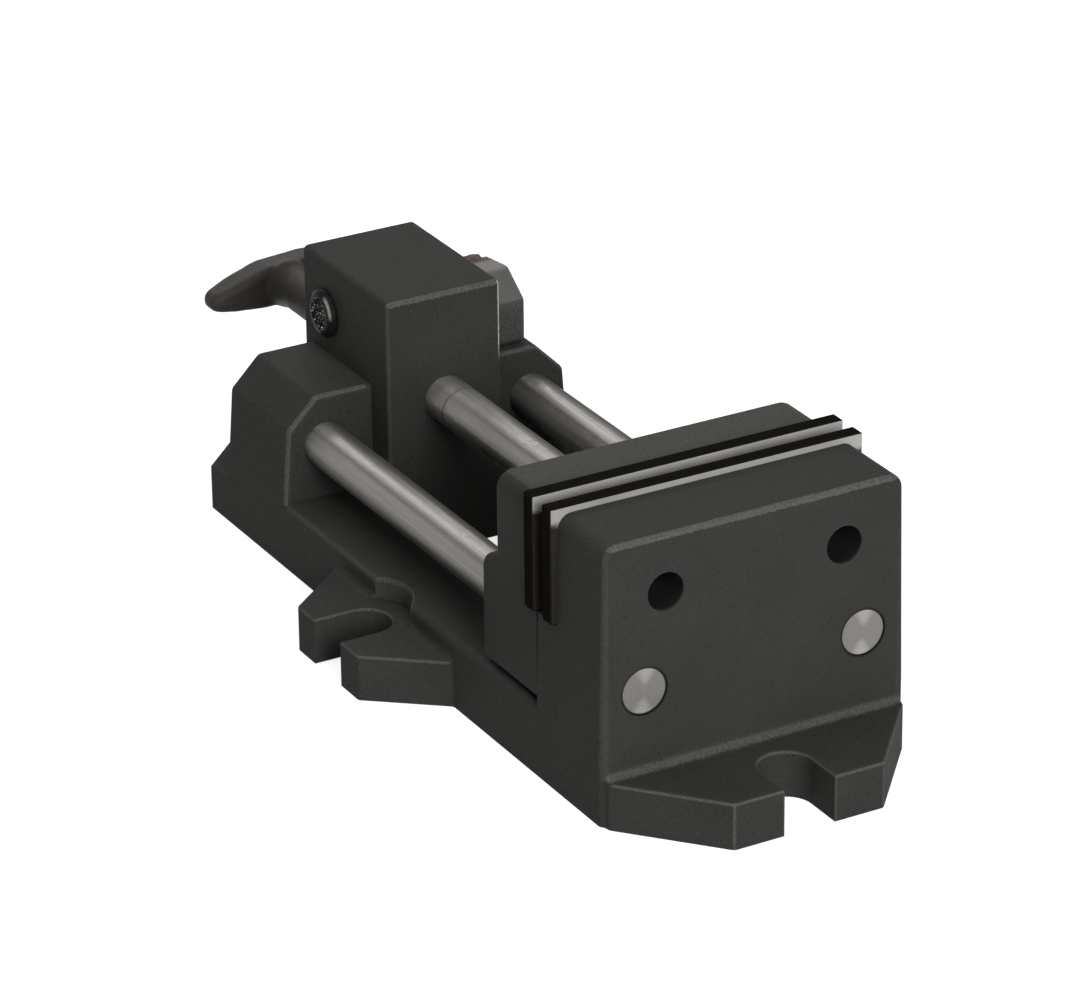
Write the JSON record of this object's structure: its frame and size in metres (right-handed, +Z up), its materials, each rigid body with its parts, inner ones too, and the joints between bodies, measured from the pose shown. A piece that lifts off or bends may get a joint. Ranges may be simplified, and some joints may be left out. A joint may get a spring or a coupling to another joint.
{
  "type": "drill press vise",
  "caption": "Low cast drill press vise: slotted base, fixed jaw, jaw sliding on ground guide rods, centre spindle with winged handle, and a locking lever on the tower.",
  "frame": {"origin": "on the underside of the base, on its centreline, in line with the two side bolt slots", "axes": "+X along the vise from the handle to the fixed jaw's front face, +Y to the release lever's side, +Z up"},
  "size_m": [0.3234, 0.143, 0.0875],
  "materials": {
    "casting": "black painted sand casting, fine grain",
    "jaw_casting": "black painted casting, smoother",
    "handle_casting": "dark worn paint on cast iron",
    "ground_rod": "ground steel, lengthwise streaks",
    "plate_steel": "ground faces, blackened edges",
    "lever_steel": "dark lever with a rough brown hub",
    "screw_steel": "dark screw steel, worn",
    "inner_steel": "plain machined steel"
  },
  "bodies": {
    "frame": {"body_casting": "casting", "guide_rod_left": "ground_rod", "guide_rod_right": "ground_rod", "rod_set_screws": "screw_steel", "fixed_jaw_plate": "plate_steel", "fixed_plate_screws": "screw_steel"},
    "jaw": {"moving_jaw": "jaw_casting", "moving_jaw_plate": "plate_steel", "moving_plate_screws": "screw_steel", "spindle_keeper_pins": "inner_steel", "thrust_disc": "inner_steel"},
    "spindle": {"spindle": "ground_rod", "handle": "handle_casting", "handle_pin": "inner_steel"},
    "release": {"cross_shaft": "inner_steel", "shaft_screw": "screw_steel", "locking_dog": "inner_steel", "dog_pin": "inner_steel", "release_lever": "lever_steel", "lever_pin": "inner_steel"}
  },
  "joints": [
    {"name": "jaw_slide", "type": "slide", "parent": "frame", "child": "jaw", "axis": [-1, 0, 0], "range_m": [0, 0.11]},
    {"name": "handle_turn", "type": "hinge", "parent": "jaw", "child": "spindle", "pos_m": [0.06, 0, 0.05065], "axis": [1, 0, 0], "continuous": true},
    {"name": "release_swing", "type": "hinge", "parent": "frame", "child": "release", "pos_m": [-0.097, 0, 0.0685], "axis": [0, -1, 0], "range_deg": [0, 25]}
  ]
}
